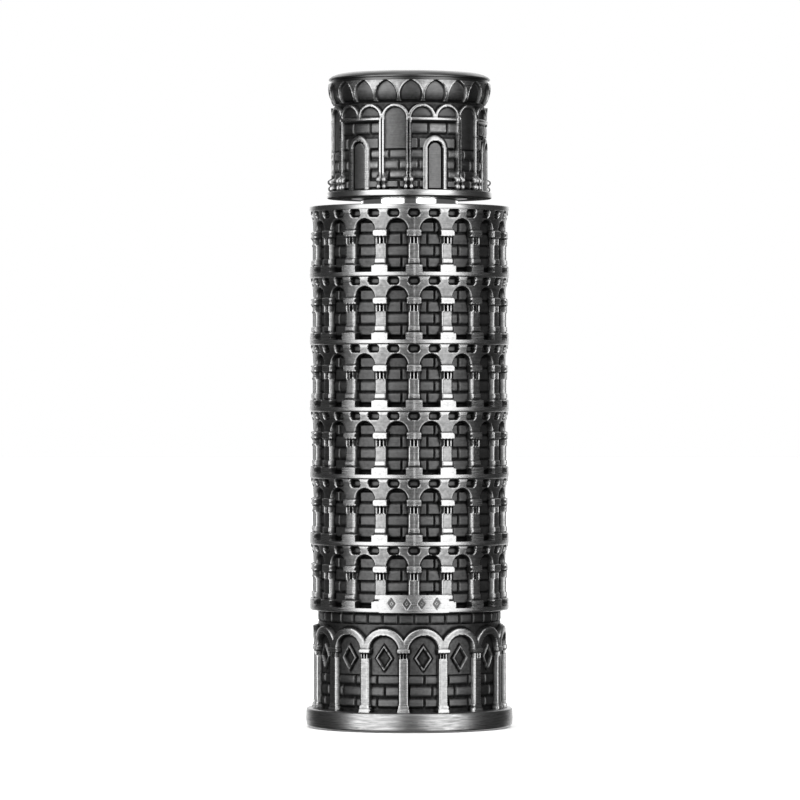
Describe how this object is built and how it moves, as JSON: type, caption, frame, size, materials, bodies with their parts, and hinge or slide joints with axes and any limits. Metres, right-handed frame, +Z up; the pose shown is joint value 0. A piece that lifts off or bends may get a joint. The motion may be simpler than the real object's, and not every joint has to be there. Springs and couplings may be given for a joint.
{
  "type": "miniature landmark tower keepsake",
  "caption": "Upright round tower souvenir in antiqued metal: arcaded storeys stacked on a hollow liner, and a lift-off belfry that fits over a polished neck.",
  "frame": {"origin": "centre of the foot pad's underside, on the table", "axes": "+Z up along the tower's axis; the front, with the plaque, faces -Y; +X to the viewer's right"},
  "size_m": [0.0316, 0.0316, 0.1],
  "materials": {
    "antique_metal": "antiqued: dark in the recesses, fine horizontal brushing on the high faces",
    "brushed_metal": "brushed around the axis",
    "polished_steel": "mirror polish",
    "steel": "drawn tube, satin",
    "seal_rubber": "matte",
    "pad": "matte, fine grained"
  },
  "bodies": {
    "tower": {"foot_pad": "pad", "plinth": "brushed_metal", "ground_storey": "antique_metal", "loggia_1": "antique_metal", "loggia_2": "antique_metal", "loggia_3": "antique_metal", "loggia_4": "antique_metal", "loggia_5": "antique_metal", "loggia_6": "antique_metal", "plaque": "antique_metal", "terrace": "brushed_metal", "liner_tube": "steel", "register_key": "steel", "neck": "polished_steel"},
    "seal": {"neck_seal": "seal_rubber"},
    "belfry": {"cap_sleeve": "steel", "cap_gasket": "seal_rubber", "belfry_base": "brushed_metal", "belfry_wall": "antique_metal", "belfry_cornice": "antique_metal", "roof_rim": "brushed_metal", "roof_plate": "brushed_metal"}
  },
  "joints": [
    {"name": "belfry_lift", "type": "slide", "parent": "tower", "child": "seal", "axis": [0, 0, 1], "range_m": [0, 0.03]},
    {"name": "belfry_turn", "type": "hinge", "parent": "seal", "child": "belfry", "pos_m": [0, 0, 0.085], "axis": [0, 0, 1], "continuous": true}
  ]
}
